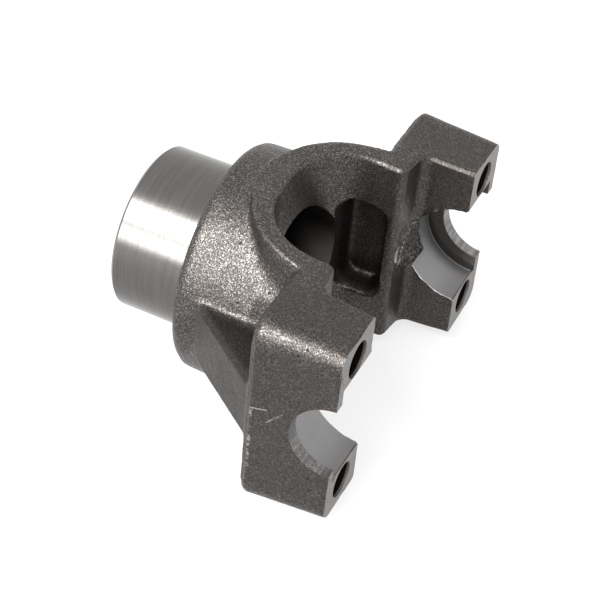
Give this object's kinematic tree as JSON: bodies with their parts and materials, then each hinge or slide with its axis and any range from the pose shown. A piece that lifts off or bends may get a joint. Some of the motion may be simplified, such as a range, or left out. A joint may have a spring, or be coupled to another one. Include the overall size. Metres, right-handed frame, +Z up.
{
  "type": "forged yoke",
  "caption": "Forged driveline end yoke: two ears with half-round bearing seats and bolt holes, joined by a saddle to a round collar and a splined hub.",
  "frame": {"origin": "crossing of the hub axis and the bearing seat axis, in the plane of the ears' machined front faces", "axes": "+X along the hub axis, from the hub towards the ears; +Y along the bearing seat axis; +Z up, with the yoke lying on its side"},
  "size_m": [0.0762, 0.1012, 0.0636],
  "materials": {
    "forged_steel": "shot-blasted forging scale, with turned and bored steel on the hub, the seats and the ears' front faces"
  },
  "bodies": {
    "root": {"yoke": "forged_steel"}
  },
  "joints": []
}
